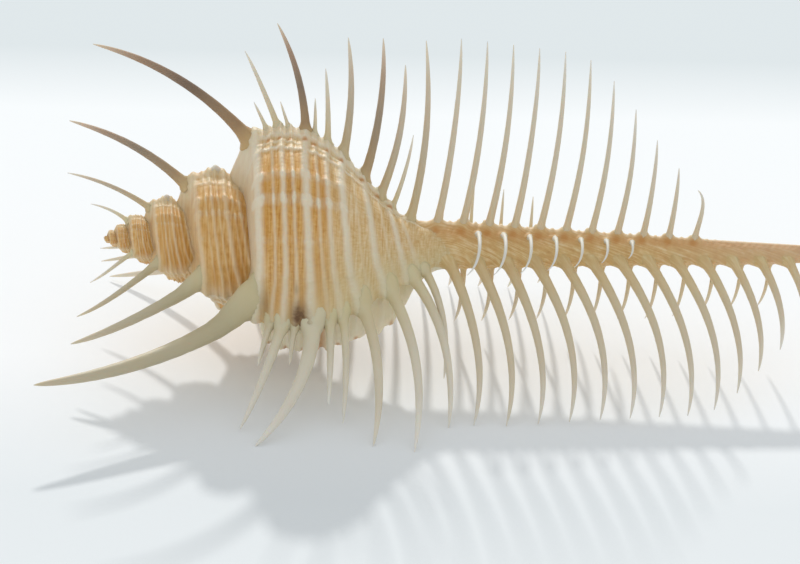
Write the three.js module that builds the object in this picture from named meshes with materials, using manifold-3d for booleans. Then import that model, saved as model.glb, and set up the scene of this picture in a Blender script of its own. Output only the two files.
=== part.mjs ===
// Venus comb murex (Murex pecten): one dextral shell that grew as one piece.
// It lies on the tips of its two lower rows of spines, apex towards -X, siphonal canal towards +X.
// Millimetres, +Z up. The origin is under the middle of the shell, on the surface it rests on.
import * as THREE from "three";
import Module from "manifold-3d";

const wasm = await Module();
wasm.setup();

// ---- driving dimensions -------------------------------------------------------------------------
const LENGTH = 130; // apex to the end of the siphonal canal, along the shell's axis
const AXIS_HEIGHT = 19.1; // of the shell's axis above the surface it rests on
const CANAL_START = 56; // where the body has narrowed to the canal
const TURNS = 6; // whorls from the apex to the lip

// Angles about the axis, in degrees from +Y (the far side) through +Z (up). Growth increases them.
const LIP_VARIX = 203;
const VARIX_STEP = 120; // three varices a turn
const TOP_VARIX = LIP_VARIX - VARIX_STEP;
const FAR_VARIX = LIP_VARIX + VARIX_STEP;
const LIP_WIDTH = 30; // the outer lip's flange, past the last varix

const SWELL = 0.1; // the whorls bulge by this share towards the swell angle, and less opposite
const SWELL_ANGLE = 80;

const VARIX_THICKNESS = 1.5;
const VARIX_SPREAD = 8; // degrees from a varix's crest to where it has faded
const VARIX_FADES_FROM = 44; // place on the whorl from which the varices sink into the canal
const SHOULDER = 26.8; // place on the whorl of the shoulder spines

// Growth: size falls by this much in a turn, and the last part of the last turn grows more slowly.
const GROWTH_PER_TURN = 0.534;
const SLOWING_FROM = -0.7;
const SLOWING = 0.274;

// The last whorl's outline: distance from the apex and radius, from its suture to the canal.
const WHORL_OUTLINE = [
  [23.6, 9.5],
  [24.4, 11.6],
  [26.4, 15.4],
  [29.0, 17.2],
  [32.0, 18.0],
  [35.0, 18.0],
  [38.5, 17.2],
  [42.0, 15.3],
  [45.0, 12.8],
  [48.0, 9.9],
  [51.0, 7.2],
  [54.0, 5.2],
  [58.0, 3.6],
];
const CANAL_OUTLINE = [
  [44, 3.2],
  [58, 3.6],
  [75, 2.8],
  [95, 2.1],
  [118, 1.35],
  [LENGTH, 0.95],
];

// The hollow behind the outer lip: where its middle is, and half its size along, round and out.
const APERTURE = { at: 38, angle: 262, radius: 12.5, halfSize: [8.6, 4.8, 8.5] };
const SLIT = { start: 51, width: 0.9, top: -0.3, bottom: -3.5 }; // along the canal's underside

const SPINE_ROOT = 1.4; // how much wider a spine is where it leaves the shell
const TIP_RADIUS = 0.12;
const LONG_SPINE = 12; // spines longer than this are made with more rings and facets

const SIDES = 32; // facets round the body
const RINGS = 38; // rings from the apex to the canal's end
const FIRST_RING = 0.35; // distance of the first ring from the apex
const LEAST_RADIUS = 0.25; // radius of the very apex
const EVEN_SHARE = 0.42; // how evenly the rings are spread; the rest crowd towards the apex
const CROWDING = 2.6;

// ---- small helpers ------------------------------------------------------------------------------
const radians = THREE.MathUtils.degToRad;
const smooth = THREE.MathUtils.smoothstep;

/** Straight-line interpolation in a list of [x, value] points, clamped at its ends. */
function along(points, x) {
  if (x <= points[0][0]) return points[0][1];
  for (let i = 1; i < points.length; i += 1) {
    const [x1, v1] = points[i];
    const [x0, v0] = points[i - 1];
    if (x <= x1) return v0 + ((v1 - v0) * (x - x0)) / (x1 - x0);
  }
  return points.at(-1)[1];
}

/** The unit vector straight out from the axis at an angle. */
function outward(angle) {
  return new THREE.Vector3(0, Math.cos(radians(angle)), Math.sin(radians(angle)));
}

/** The shell's size at a point of its growth, in turns from the lip varix, where it is 1. */
function sizeAt(turn) {
  const slowed = (t) => GROWTH_PER_TURN * t - SLOWING * Math.max(0, t - SLOWING_FROM) ** 2;
  return Math.exp(slowed(turn) - slowed(0));
}

// ---- body and canal -----------------------------------------------------------------------------
/** How far a varix raises the surface at a point of the shell's growth. */
function varixRise(turn) {
  const fromCrest = turn * 360 - VARIX_STEP * Math.round((turn * 360) / VARIX_STEP);
  return VARIX_THICKNESS * Math.exp(-((fromCrest / VARIX_SPREAD) ** 2));
}

/** The radius of the shell's outer surface at a distance from the apex and an angle. */
function surfaceRadius(x, angle) {
  const swell = 1 + SWELL * Math.cos(radians(angle - SWELL_ANGLE));
  let radius = 0;
  const pastLip = (((angle - LIP_VARIX) % 360) + 360) % 360;
  const first = pastLip <= LIP_WIDTH ? 0 : -1;
  for (let whorl = first; whorl > -TURNS; whorl -= 1) {
    const turn = pastLip / 360 + whorl;
    const size = sizeAt(Math.min(turn, 0));
    const local = x / size;
    if (local < WHORL_OUTLINE[0][0]) continue;
    const fading = 1 - smooth(local, VARIX_FADES_FROM, CANAL_START);
    const rise = varixRise(Math.min(turn, 0)) * fading;
    const outline = along(WHORL_OUTLINE, local) * swell + rise;
    if (local <= CANAL_START) radius = Math.max(radius, size * outline);
  }
  if (x >= CANAL_OUTLINE[0][0]) radius = Math.max(radius, along(CANAL_OUTLINE, x));
  return Math.max(radius, LEAST_RADIUS);
}

/** Distances from the apex of the body's rings: close together on the spire, wide on the canal. */
function ringPlaces() {
  const places = [];
  for (let i = 0; i <= RINGS; i += 1) {
    const u = i / RINGS;
    places.push(LENGTH * (EVEN_SHARE * u + (1 - EVEN_SHARE) * u ** CROWDING));
  }
  places[0] = FIRST_RING;
  return places;
}

/** A closed solid through rings of points, with a fan over each end. */
function loft(rings) {
  const sides = rings[0].length;
  const positions = [];
  const faces = [];
  rings.forEach((ring) => ring.forEach((p) => positions.push(p.x, p.y, p.z)));
  const addCentre = (ring) => {
    const centre = ring.reduce((sum, p) => sum.add(p), new THREE.Vector3());
    centre.divideScalar(sides);
    positions.push(centre.x, centre.y, centre.z);
    return positions.length / 3 - 1;
  };
  const start = addCentre(rings[0]);
  const end = addCentre(rings.at(-1));
  const last = (rings.length - 1) * sides;
  for (let j = 0; j < sides; j += 1) {
    const k = (j + 1) % sides;
    faces.push(start, k, j);
    faces.push(end, last + j, last + k);
    for (let i = 0; i < rings.length - 1; i += 1) {
      const a = i * sides;
      const b = a + sides;
      faces.push(a + j, a + k, b + k);
      faces.push(a + j, b + k, b + j);
    }
  }
  return solid(positions, faces);
}

/** A manifold-3d solid, turned to face out if its faces were given the other way round. */
function solid(positions, faces) {
  const build = (triVerts) =>
    new wasm.Manifold(
      new wasm.Mesh({
        numProp: 3,
        vertProperties: new Float32Array(positions),
        triVerts: new Uint32Array(triVerts),
      }),
    );
  const made = build(faces);
  return made.volume() > 0 ? made : build([...faces].reverse());
}

function body() {
  const rings = ringPlaces().map((x) => {
    const ring = [];
    for (let j = 0; j < SIDES; j += 1) {
      const angle = (360 * j) / SIDES;
      const point = outward(angle).multiplyScalar(surfaceRadius(x, angle));
      ring.push(point.setX(x));
    }
    return ring;
  });
  return loft(rings);
}

/** The hollow of the aperture: an ellipsoid that opens downwards behind the outer lip. */
function aperture() {
  const hollow = new THREE.SphereGeometry(1, 14, 9);
  hollow.scale(...APERTURE.halfSize);
  hollow.rotateX(radians(APERTURE.angle - 90));
  const centre = outward(APERTURE.angle).multiplyScalar(APERTURE.radius);
  hollow.translate(APERTURE.at, centre.y, centre.z);
  return fromGeometry(hollow);
}

/** The narrow slit along the underside of the siphonal canal. */
function canalSlit() {
  const end = LENGTH + 1;
  const slit = new THREE.BoxGeometry(end - SLIT.start, SLIT.width, SLIT.top - SLIT.bottom);
  slit.translate((end + SLIT.start) / 2, 0, (SLIT.top + SLIT.bottom) / 2);
  return fromGeometry(slit);
}

/** A manifold-3d solid of a closed three.js geometry, with vertices at one place merged. */
function fromGeometry(geometry) {
  const source = geometry.getAttribute("position");
  const index = geometry.getIndex();
  const places = new Map();
  const positions = [];
  const merged = [];
  for (let i = 0; i < source.count; i += 1) {
    const point = [source.getX(i), source.getY(i), source.getZ(i)];
    const key = point.map((v) => v.toFixed(4)).join();
    if (!places.has(key)) {
      places.set(key, positions.length / 3);
      positions.push(...point);
    }
    merged.push(places.get(key));
  }
  const faces = [];
  for (let i = 0; i < index.count; i += 3) {
    const [a, b, c] = [0, 1, 2].map((n) => merged[index.getX(i + n)]);
    if (a !== b && b !== c && c !== a) faces.push(a, b, c);
  }
  return solid(positions, faces);
}

// ---- spines -------------------------------------------------------------------------------------
/**
 * The centre line of a spine. It stands at distance `at` from the apex and angle `root`, and leans
 * `lean` degrees towards the canal at its base and `tipLean` at its tip. Its direction about the
 * axis turns from `from` to `to`. A spine that would pass through the surface the shell rests on is
 * shortened until its tip stands on it.
 */
function spinePath(spine, steps) {
  const { at, from, to = from, root = from, lean = 0, tipLean = lean, bend = 1 } = spine;
  const depth = 0.5 * spine.width + 0.3;
  const trace = (length) => {
    const foot = outward(root).multiplyScalar(surfaceRadius(at, root) - depth);
    const points = [foot.setX(at)];
    for (let i = 0; i < steps; i += 1) {
      const u = (i + 0.5) / steps;
      const tilt = radians(lean + (tipLean - lean) * u ** bend);
      const direction = outward(from + (to - from) * u).multiplyScalar(Math.cos(tilt));
      direction.x = Math.sin(tilt);
      points.push(points.at(-1).clone().addScaledVector(direction, length / steps));
    }
    return points;
  };
  let length = spine.length;
  let points = trace(length);
  while (points.at(-1).z < -AXIS_HEIGHT) {
    length *= 0.995;
    points = trace(length);
  }
  return points;
}

/** The radius of a spine at a share of its length: slender, and drawn in close to its tip. */
function spineRadius(width, u) {
  const slender = 0.5 * width * (1 - 0.55 * u) * Math.sqrt(1 - u ** 6);
  return u === 0 ? slender * SPINE_ROOT : Math.max(TIP_RADIUS, slender);
}

/** A spine: a tapering tube round its centre line that ends in a small blunt tip. */
function spineSolid(spine) {
  const long = spine.length > LONG_SPINE;
  const steps = long ? 4 : 2;
  const sides = long ? 5 : 4;
  const path = spinePath(spine, steps);
  const rings = path.map((centre, i) => {
    const next = path[Math.min(i + 1, steps)];
    const before = path[Math.max(i - 1, 0)];
    const direction = next.clone().sub(before).normalize();
    const side = direction.clone().cross(outward(spine.from + 90)).normalize();
    const other = direction.clone().cross(side);
    const radius = spineRadius(spine.width, i / steps);
    return Array.from({ length: sides }, (_, j) => {
      const turn = (2 * Math.PI * j) / sides;
      return centre
        .clone()
        .addScaledVector(side, radius * Math.cos(turn))
        .addScaledVector(other, radius * Math.sin(turn));
    });
  });
  return loft(rings);
}

/** Evenly spaced places along the canal, with a value from 0 at the first to 1 at the last. */
function alongCanal(first, last, count) {
  return Array.from({ length: count }, (_, i) => {
    const u = i / (count - 1);
    return { at: first + (last - first) * u, u };
  });
}

// Spines of the last varix, at the outer lip, from the shoulder to the foot of the body.
const LIP_BODY_SPINES = [
  { at: 26.7, length: 41, lean: -42, tipLean: -66, to: 172, width: 3.4 },
  { at: 29.8, length: 9, lean: -12, width: 1.4, to: 230 },
  { at: 31.7, length: 21, lean: -8, tipLean: -26, to: 232, width: 1.9 },
  { at: 33.7, length: 8, lean: -5, width: 1.2, to: 230 },
  { at: 36.3, length: 32, lean: 6, tipLean: -42, to: 220, width: 2.8 },
  { at: 39.2, length: 16, lean: 4, tipLean: -2, to: 235, width: 1.6 },
  { at: 41.2, length: 20, lean: 8, tipLean: -4, to: 235, width: 1.5 },
  { at: 44.0, length: 32, lean: 22, tipLean: -10, to: 219, width: 2.1 },
  { at: 48.2, length: 36, lean: 26, tipLean: -8, to: 214, width: 2.1 },
  { at: 51.6, length: 31, lean: 34, tipLean: -6, to: 228, width: 1.9 },
  { at: 53.8, length: 22, lean: 30, tipLean: -8, to: 228, width: 1.5 },
];

// Spines of the varix before it, which stand up from the top of the body.
const TOP_BODY_SPINES = [
  { at: 25.8, length: 31.5, lean: -38, tipLean: -78, width: 2.0 },
  { at: 28.4, length: 6, lean: -25, width: 0.8 },
  { at: 30.2, length: 15, lean: -18, tipLean: -28, width: 1.1 },
  { at: 31.9, length: 5.5, lean: -18, width: 0.7 },
  { at: 34.4, length: 20, lean: 0, tipLean: -28, width: 1.5 },
  { at: 35.9, length: 7, lean: 0, width: 0.8 },
  { at: 38.0, length: 13.5, lean: 2, tipLean: -6, width: 1.1 },
  { at: 40.4, length: 21, lean: 12, tipLean: -8, width: 1.5 },
  { at: 43.8, length: 25, lean: 18, tipLean: -4, width: 1.6 },
  { at: 46.4, length: 24, lean: 22, tipLean: -2, width: 1.5 },
  { at: 48.5, length: 14, lean: 22, tipLean: 8, width: 0.9 },
  { at: 51.6, length: 32, lean: 14, tipLean: -6, width: 1.5 },
];

// Spines of the varix on the far side, which the shell also rests on.
const FAR_BODY_SPINES = [
  { at: 22.0, length: 30, lean: -38, tipLean: -64, width: 2.0 },
  { at: 27.5, length: 17, lean: -12, tipLean: -24, width: 1.4 },
  { at: 31.5, length: 26, lean: -2, tipLean: -20, width: 1.6 },
  { at: 35.5, length: 16, lean: 4, width: 1.2 },
  { at: 39.0, length: 30, lean: 14, tipLean: -6, width: 1.7 },
  { at: 43.0, length: 32, lean: 18, tipLean: -6, width: 1.7 },
];

// Shoulder spines of the earlier whorls, by how many varices they are before the lip.
const SPIRE_SPINES = [
  { back: 3, length: 24, lean: -50, tipLean: -72, drift: 52, width: 2.2 },
  { back: 4, length: 22.5, lean: -46, tipLean: -76, drift: 0, width: 1.7 },
  { back: 5, length: 16, lean: -50, tipLean: -66, drift: -10, width: 1.2 },
  { back: 6, length: 16.5, lean: -42, tipLean: -64, drift: 70, width: 1.3 },
  { back: 7, length: 15, lean: -54, tipLean: -80, drift: 0, width: 1.0 },
  { back: 8, length: 9, lean: -52, tipLean: -70, drift: 0, width: 0.9 },
  { back: 9, length: 9, lean: -44, tipLean: -58, drift: 70, width: 0.8 },
  { back: 10, length: 7, lean: -50, tipLean: -80, drift: 0, width: 0.7 },
];

function spireSpines() {
  return SPIRE_SPINES.map(({ back, drift, ...spine }) => {
    const angle = LIP_VARIX - VARIX_STEP * back;
    const at = SHOULDER * sizeAt((-back * VARIX_STEP) / 360);
    return { ...spine, at, from: angle, to: angle + drift };
  });
}

/** The long spines of the three rows along the canal. */
function canalRows() {
  const lip = alongCanal(58, 114.5, 13).map(({ at, u }) => ({
    at,
    from: LIP_VARIX - 3,
    to: LIP_VARIX + 28,
    length: 33 - 3 * u - 15 * smooth(u, 0.6, 1.05),
    lean: 20 + 5 * Math.sin(Math.PI * u),
    tipLean: -14,
    bend: 2,
    width: 1.9 - 0.35 * u,
  }));
  const top = alongCanal(56.1, 99, 11).map(({ at, u }) => ({
    at,
    from: TOP_VARIX,
    length: 33 - 3 * u - 21 * smooth(u, 0.42, 1.08),
    lean: 13,
    tipLean: -1,
    width: 1.35 - 0.3 * u,
  }));
  const far = alongCanal(47, 84, 8).map(({ at, u }) => ({
    at,
    from: FAR_VARIX,
    length: 33 - 2 * u - 20 * smooth(u, 0.5, 1.1),
    lean: 12,
    tipLean: -6,
    width: 1.4 - 0.3 * u,
  }));
  return [...lip, ...top, ...far];
}

/** The short spines between the long ones, turned towards the side the shell grew to. */
function shortRows() {
  const lip = alongCanal(61, 112, 12).map(({ at, u }) => ({
    at,
    from: LIP_VARIX + 68,
    to: LIP_VARIX + 108,
    length: 15 - 3 * smooth(u, 0.6, 1),
    lean: 2,
    tipLean: -10,
    width: 1.0 - 0.2 * u,
  }));
  const top = alongCanal(63.2, 88.8, 7).map(({ at, u }) => ({
    at,
    root: TOP_VARIX + 25,
    from: TOP_VARIX + 65,
    to: TOP_VARIX + 155,
    length: 13 - 8 * u ** 1.5,
    lean: 2,
    tipLean: -50,
    bend: 4,
    width: 0.85 - 0.2 * u,
  }));
  const far = alongCanal(57, 72, 4).map(({ at, u }) => ({
    at,
    from: FAR_VARIX + 75,
    to: FAR_VARIX + 90,
    length: 10 - 3 * u,
    lean: 4,
    width: 0.7,
  }));
  return [...lip, ...top, ...far];
}

function spines() {
  const on = (angle) => (spine) => ({ from: angle, ...spine });
  return [
    ...LIP_BODY_SPINES.map(on(LIP_VARIX)),
    ...TOP_BODY_SPINES.map(on(TOP_VARIX)),
    ...FAR_BODY_SPINES.map(on(FAR_VARIX)),
    ...spireSpines(),
    ...canalRows(),
    ...shortRows(),
  ];
}

// ---- the whole shell ----------------------------------------------------------------------------
/** The mesh of a finished solid, moved so that the origin is under its middle, at its lowest point. */
function shellMesh(made) {
  const { vertProperties, triVerts } = made.getMesh();
  const geometry = new THREE.BufferGeometry();
  geometry.setAttribute("position", new THREE.BufferAttribute(vertProperties.slice(), 3));
  geometry.setIndex(new THREE.BufferAttribute(triVerts.slice(), 1));
  geometry.computeBoundingBox();
  const { min, max } = geometry.boundingBox;
  geometry.translate(-(min.x + max.x) / 2, -(min.y + max.y) / 2, -min.z);
  const material = new THREE.MeshStandardMaterial({ color: "#dcb98a", roughness: 0.42, metalness: 0 });
  const mesh = new THREE.Mesh(geometry, material);
  mesh.name = "shell";
  return mesh;
}

const hollowed = body().subtract(aperture()).subtract(canalSlit());
const whole = spines().reduce((made, spine) => made.add(spineSolid(spine)), hollowed);

const shell = new THREE.Group();
shell.name = "venus_comb_murex";
shell.add(shellMesh(whole));

export default shell;
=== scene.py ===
"""Looks of a Venus comb murex shell: fine mesh, shell material, pale floor, soft light and camera."""

import math

import bpy
import numpy as np
from mathutils import Matrix, Vector


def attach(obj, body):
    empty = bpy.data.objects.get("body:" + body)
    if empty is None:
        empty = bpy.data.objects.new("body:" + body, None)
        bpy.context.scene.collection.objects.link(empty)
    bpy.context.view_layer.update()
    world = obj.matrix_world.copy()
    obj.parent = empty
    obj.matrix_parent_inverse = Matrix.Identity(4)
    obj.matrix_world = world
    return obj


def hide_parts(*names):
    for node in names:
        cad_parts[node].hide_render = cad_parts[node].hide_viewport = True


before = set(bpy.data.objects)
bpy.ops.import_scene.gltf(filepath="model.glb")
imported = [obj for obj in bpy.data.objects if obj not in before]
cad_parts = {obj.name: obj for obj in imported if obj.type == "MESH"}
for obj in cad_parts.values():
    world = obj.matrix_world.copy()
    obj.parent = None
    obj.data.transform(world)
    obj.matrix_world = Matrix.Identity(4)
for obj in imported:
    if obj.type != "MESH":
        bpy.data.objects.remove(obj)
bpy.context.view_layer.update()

# ---- driving dimensions, in millimetres and degrees, as in the CAD ----
MM = 0.001
LENGTH = 130.0
AXIS_HEIGHT = 19.1
CANAL_END_RADIUS = 0.95
LIP_VARIX = 203.0  # the last varix's angle about the axis
VARIX_STEP = 120.0  # three varices a turn
TOP_VARIX = LIP_VARIX - VARIX_STEP
FAR_VARIX = LIP_VARIX + VARIX_STEP
LIP_TURN = 30.0 / 360.0  # how far the lip's flange reaches past the last varix, in turns
FIRST_TURN = -6.2
SWELL = 0.1  # how much the body bulges towards the swell's angle
SWELL_ANGLE = 80.0
GROWTH_PER_TURN = 0.534
SLOWING_FROM = -0.7
SLOWING = 0.274
SLIT_ANGLE = 263.0  # the slit along the canal's underside
SHOULDER = 26.8  # place on the whorl of the shoulder spines
SUTURE = 23.6  # place where a whorl meets the one before it
CREST_HEIGHT = 1.3  # the CAD's plain varix, without its cords
CREST_SPREAD = 8  # degrees
CANAL_FROM = 44

# The last whorl's outline: distance from the apex and radius, from its suture to the canal.
WHORL_OUTLINE = np.array([
    (23.2, 8.6), (23.6, 9.5), (24.4, 11.6), (26.4, 15.4), (29.0, 17.2), (32.0, 18.0), (35.0, 18.0),
    (38.5, 17.2), (42.0, 15.3), (45.0, 12.8), (48.0, 9.9), (51.0, 7.2), (54.0, 5.2), (57.0, 4.0),
    (60.0, 3.5), (64.0, 3.2),
])
CANAL_OUTLINE = np.array([
    (30, 3.0), (44, 3.2), (58, 3.6), (75, 2.8), (95, 2.1), (118, 1.35), (LENGTH, CANAL_END_RADIUS),
])

# Spiral cords: place from the apex at the last varix, between varices and at the top varix, then
# height, half width and paleness.
CORDS = [
    (26.8, 28.3, 28.0, 0.75, 0.95, 0.95),
    (29.8, 31.1, 30.8, 0.25, 0.33, 0.55),
    (31.7, 32.8, 32.7, 0.42, 0.52, 0.80),
    (33.7, 34.5, 34.6, 0.30, 0.40, 0.60),
    (36.3, 36.6, 37.3, 0.62, 0.75, 0.95),
    (39.2, 38.6, 38.9, 0.28, 0.40, 0.50),
    (41.2, 40.3, 41.2, 0.36, 0.52, 0.75),
    (44.0, 42.8, 43.8, 0.50, 0.66, 0.98),
    (46.1, 45.0, 45.7, 0.18, 0.30, 0.35),
    (48.2, 47.2, 47.6, 0.47, 0.60, 0.92),
    (50.2, 49.4, 50.3, 0.20, 0.30, 0.40),
    (51.6, 51.4, 52.6, 0.44, 0.55, 0.88),
    (53.8, 53.4, 55.9, 0.32, 0.45, 0.60),
]
RAMP_END = 30.0  # the shoulder's ramp, which is steeper between varices
RAMP_STEEPNESS = 0.7
CORD_RISE = 0.55  # how much higher the cords stand at a varix
THREAD_SPACING = 0.62
VARIX_HEIGHT = 1.5
# Axial ribs: degrees past a varix and strength.
RIBS = [(37, 1.3), (51, 1.4), (-48, 0.8), (-28, 0.5)]
RIB_SPREAD = 3.6
# Ledges left by former lips: degrees past a varix and height.
LAMELLAE = [(6, 0.34), (11.5, 0.20), (18, 0.36)]

LIP_WALL = 1.1
TOOTH_SPACING = 2.6  # teeth along the lip's edge
TOOTH_PLACE = 36.4
TOOTH_HEIGHT = 0.3

# Dark brown patches in the hollows between the last varix's spine roots, and orange patches: degrees past
# the last varix, place, half lengths of each, strength.
DARK_PATCHES = [
    (-7.0, 34.5, 7.0, 1.5, 1.2),
    (-4.0, 34.6, 5.0, 0.8, 0.9),
    (-22.0, 34.2, 3.5, 0.5, 0.35),
    (-11.0, 28.9, 11.0, 0.9, 0.5),
]
ORANGE_PATCHES = [
    (-27.0, 37.7, 15.0, 0.9, 0.9), (-75.0, 39.4, 22.0, 0.9, 0.9), (-75.0, 29.8, 26.0, 0.7, 0.8),
    (-12.0, 35.4, 14.0, 1.6, 0.9), (-10.0, 38.6, 12.0, 1.0, 0.7), (-14.0, 31.0, 14.0, 1.0, 0.7),
]

TOP_ROW = (56.1, 99, 11)  # first and last place along the canal and number of the upper long spines
FILLET = 0.34  # how far a fillet at a spine's foot rises, as a share of its reach
FILLET_ALONG = 2.5  # how far along a spine it goes, in widths of the spine
RUN_IN = 24  # degrees from a lip spine's first rise to the varix
LEAST_SPINE_RADIUS = 0.075
LONG_SPINE = 12  # spines longer than this are made with more rings and sides

# ---- light and view, in metres ---------------------------------------
SUN_SLOPE = (0.148, -1.549)  # how far a shadow falls along X and Y for each unit of height
SUN_STRENGTH = 1.75
SUN_WIDTH = 3.0  # degrees across
SUN_COLOUR = (1.0, 0.99, 0.97)
SKY_STRENGTH = 0.77
SKY_COLOUR = (0.93, 0.97, 1.0, 1.0)
CAMERA_ELEVATION = math.radians(25.0)
CAMERA_ROLL = math.radians(1.35)
CAMERA_DISTANCE = 0.45
CAMERA_LENS = 121.5
CAMERA_AIM = 58.5 * MM  # the point of the shell's axis, from the apex, that the view is set by
CAMERA_OFFSET = (0.00817, 0.0060)  # where that point lies right of and above the view's middle
FLOOR_HALF = 2.5


# ---- growth and surface ----------------------------------------------
def size_at(turn):
    """The shell's size at a point of its growth, in turns from the lip varix, where it is 1."""
    def slowed(t):
        return GROWTH_PER_TURN * t - SLOWING * np.maximum(0, t - SLOWING_FROM) ** 2
    return np.exp(slowed(np.minimum(turn, 0.0)) - slowed(0.0))


def smoothstep(x, low, high):
    """0 up to low, 1 from high on, and a smooth rise between."""
    u = np.clip((x - low) / (high - low), 0, 1)
    return u * u * (3 - 2 * u)


def bump(x, centre, half_width):
    """1 at the centre, fading to 0 on both sides."""
    return np.exp(-((x - centre) / half_width) ** 2)


def softened(points, x, reach=1.0):
    """A list of (x, value) points read along a smooth curve: the mean of five nearby readings."""
    offsets = np.array([-1.0, -0.5, 0.0, 0.5, 1.0]) * reach
    weights = np.array([1.0, 2.0, 3.0, 2.0, 1.0]) / 9.0
    return sum(w * np.interp(x + d, points[:, 0], points[:, 1]) for d, w in zip(offsets, weights))


def hashed(n):
    """A repeatable number from 0 to 1 for a whole number."""
    return np.modf(np.abs(np.sin(np.asarray(n, dtype=float) * 12.9898) * 43758.5453))[0]


def waver(x, seed):
    """A smooth repeatable wave between -1 and 1."""
    return (np.sin(x + seed) + np.sin(2.3 * x + 2.1 * seed) + np.sin(5.1 * x + 3.7 * seed)) / 3


def cord_centre(cord, turn):
    """Where a cord runs, from the apex at size 1, at a point of growth."""
    last, between, top = cord[:3]
    past = turn * 360
    to_last = bump(past, 0, 22) * (past < VARIX_STEP / 2)
    to_top = bump(from_varix(turn), 0, 16) * (past < -VARIX_STEP / 2)
    return between + (last - between) * to_last + (top - between) * to_top


def from_varix(turn):
    """Degrees of growth past the nearest varix, from -60 to 60."""
    degrees = turn * 360
    return degrees - VARIX_STEP * np.round(degrees / VARIX_STEP)


def ramp_place(turn, local):
    """Where the outline is read: the ramp between suture and shoulder is steep between varices."""
    steep = 1 + RAMP_STEEPNESS * (1 - bump(from_varix(turn), 0, 15))
    return np.where(local < RAMP_END, RAMP_END - (RAMP_END - local) * steep, local)


def parietal(turn, local):
    """1 where the wall inside the mouth is smooth, 0 elsewhere."""
    under_mouth = smoothstep(turn, -1.02, -0.98) * (1 - smoothstep(turn, -0.84, -0.76))
    return under_mouth * smoothstep(local, 37, 40)


def off_ramp(local):
    """1 on the whorl's side, 0 on the ramp between suture and shoulder."""
    return smoothstep(local, 25.5, 28)


def cord_relief(turn, local):
    """Height of the spiral cords and how pale they make the surface."""
    cords = np.zeros(np.broadcast(turn, local).shape)
    pale = np.zeros_like(cords)
    grown = 1 + CORD_RISE * bump(from_varix(turn), -3, 14)
    widened = 1 + 0.35 * bump(turn * 360, -4, 24) * (turn < 0.02)
    for number, cord in enumerate(CORDS):
        height, width, tint = cord[3:]
        beading = 1 + 0.2 * waver(turn * 150, number)
        centre = cord_centre(cord, turn) + 0.07 * waver(turn * 40, number)
        shape = bump(local, centre, width * widened)
        cords = cords + height * grown * beading * shape
        pale = np.maximum(pale, tint * np.minimum(1, 1.15 * shape))
    return cords, pale


def rib_relief(turn, local):
    """Strength of the axial ribs, which fade towards the canal."""
    past = from_varix(turn)
    ribs = np.zeros(np.broadcast(turn, local).shape)
    for number, (centre, strength) in enumerate(RIBS):
        uneven = 0.75 + 0.4 * hashed(number + 7 * np.round(turn * 3))
        ribs = ribs + strength * uneven * bump(past, centre + 1.3 * waver(local * 0.5, number), RIB_SPREAD)
    return ribs * off_ramp(local) * (1 - smoothstep(local, 40, 50))


def lamella_relief(turn, local, cords):
    """Height of the thin ledges after a varix, which bend back where they cross a cord."""
    past = from_varix(turn)
    lamellae = np.zeros_like(cords)
    for number, (centre, height) in enumerate(LAMELLAE):
        edge = past - centre + 0.9 * waver(local * 0.8, number) - 1.2 * np.minimum(1, cords)
        ledge = np.where(edge < 0, np.exp(-((edge / 3.0) ** 2)), np.exp(-((edge / 0.9) ** 2)))
        lamellae = lamellae + height * ledge
    return lamellae * (turn < -0.05)


def relief(turn, local):
    """Height of cords, ribs, varices and growth lines, for size 1, and how pale the surface is."""
    past = from_varix(turn)
    before_lip = turn < -0.05
    fade = 1 - smoothstep(local, 50, 58)
    cords, pale = cord_relief(turn, local)
    threads = 0.05 * np.cos(local * 2 * math.pi / THREAD_SPACING) * off_ramp(local) * (1 - 0.6 * pale)
    ribs = rib_relief(turn, local)
    nodules = ribs * np.minimum(1, cords / 0.32)
    lamellae = lamella_relief(turn, local, cords)
    rise = np.where(past < 0, bump(past, 0, 11), bump(past, 0, 6))
    growth_lines = 0.025 * waver(turn * 900 + 0.4 * np.sin(local), 3)

    height = cords * (0.55 + 0.45 * fade) + threads * fade
    height = height + 0.24 * ribs + 0.42 * nodules
    height = height + (VARIX_HEIGHT * rise + lamellae) * fade + growth_lines

    keel = cord_centre(CORDS[0], turn)
    for tint, amount in (
        (1.0, nodules * 1.3), (0.35, ribs), (0.85 * before_lip, rise * 1.1), (0.85, lamellae / 0.3),
        (0.75, 1 - smoothstep(local, keel - 0.9, keel)),
    ):
        pale = np.maximum(pale, tint * np.minimum(1, amount))
    return height * (1 - 0.9 * parietal(turn, local)), pale


def base_radius(turn, local):
    """The outer radius of a whorl at size 1, without its relief."""
    angle = LIP_VARIX + 360 * turn
    swell = 1 + SWELL * np.cos(np.radians(angle - SWELL_ANGLE)) * (1 - smoothstep(local, 46, 58))
    return softened(WHORL_OUTLINE, ramp_place(turn, local), 0.8) * swell


def canal_radius(x):
    """The canal's outer radius at a distance from the apex."""
    return softened(CANAL_OUTLINE, x, 3.0)


def surface_radius(x, angle):
    """The CAD's plain outer radius at a distance from the apex and an angle, where spines stand."""
    past_lip = (angle - LIP_VARIX) % 360
    best = canal_radius(x) if x >= CANAL_FROM else 0.0
    whorl = 0 if past_lip <= LIP_TURN * 360 else -1
    while whorl > FIRST_TURN:
        turn = past_lip / 360 + whorl
        size = float(size_at(turn))
        local = x / size
        if SUTURE <= local <= 58:
            crest = CREST_HEIGHT * math.exp(-((from_varix(turn) / CREST_SPREAD) ** 2))
            crest *= 1 - smoothstep(local, CANAL_FROM, 56)
            best = max(best, size * (float(base_radius(turn, local)) + float(crest)))
        whorl -= 1
    return best


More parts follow.
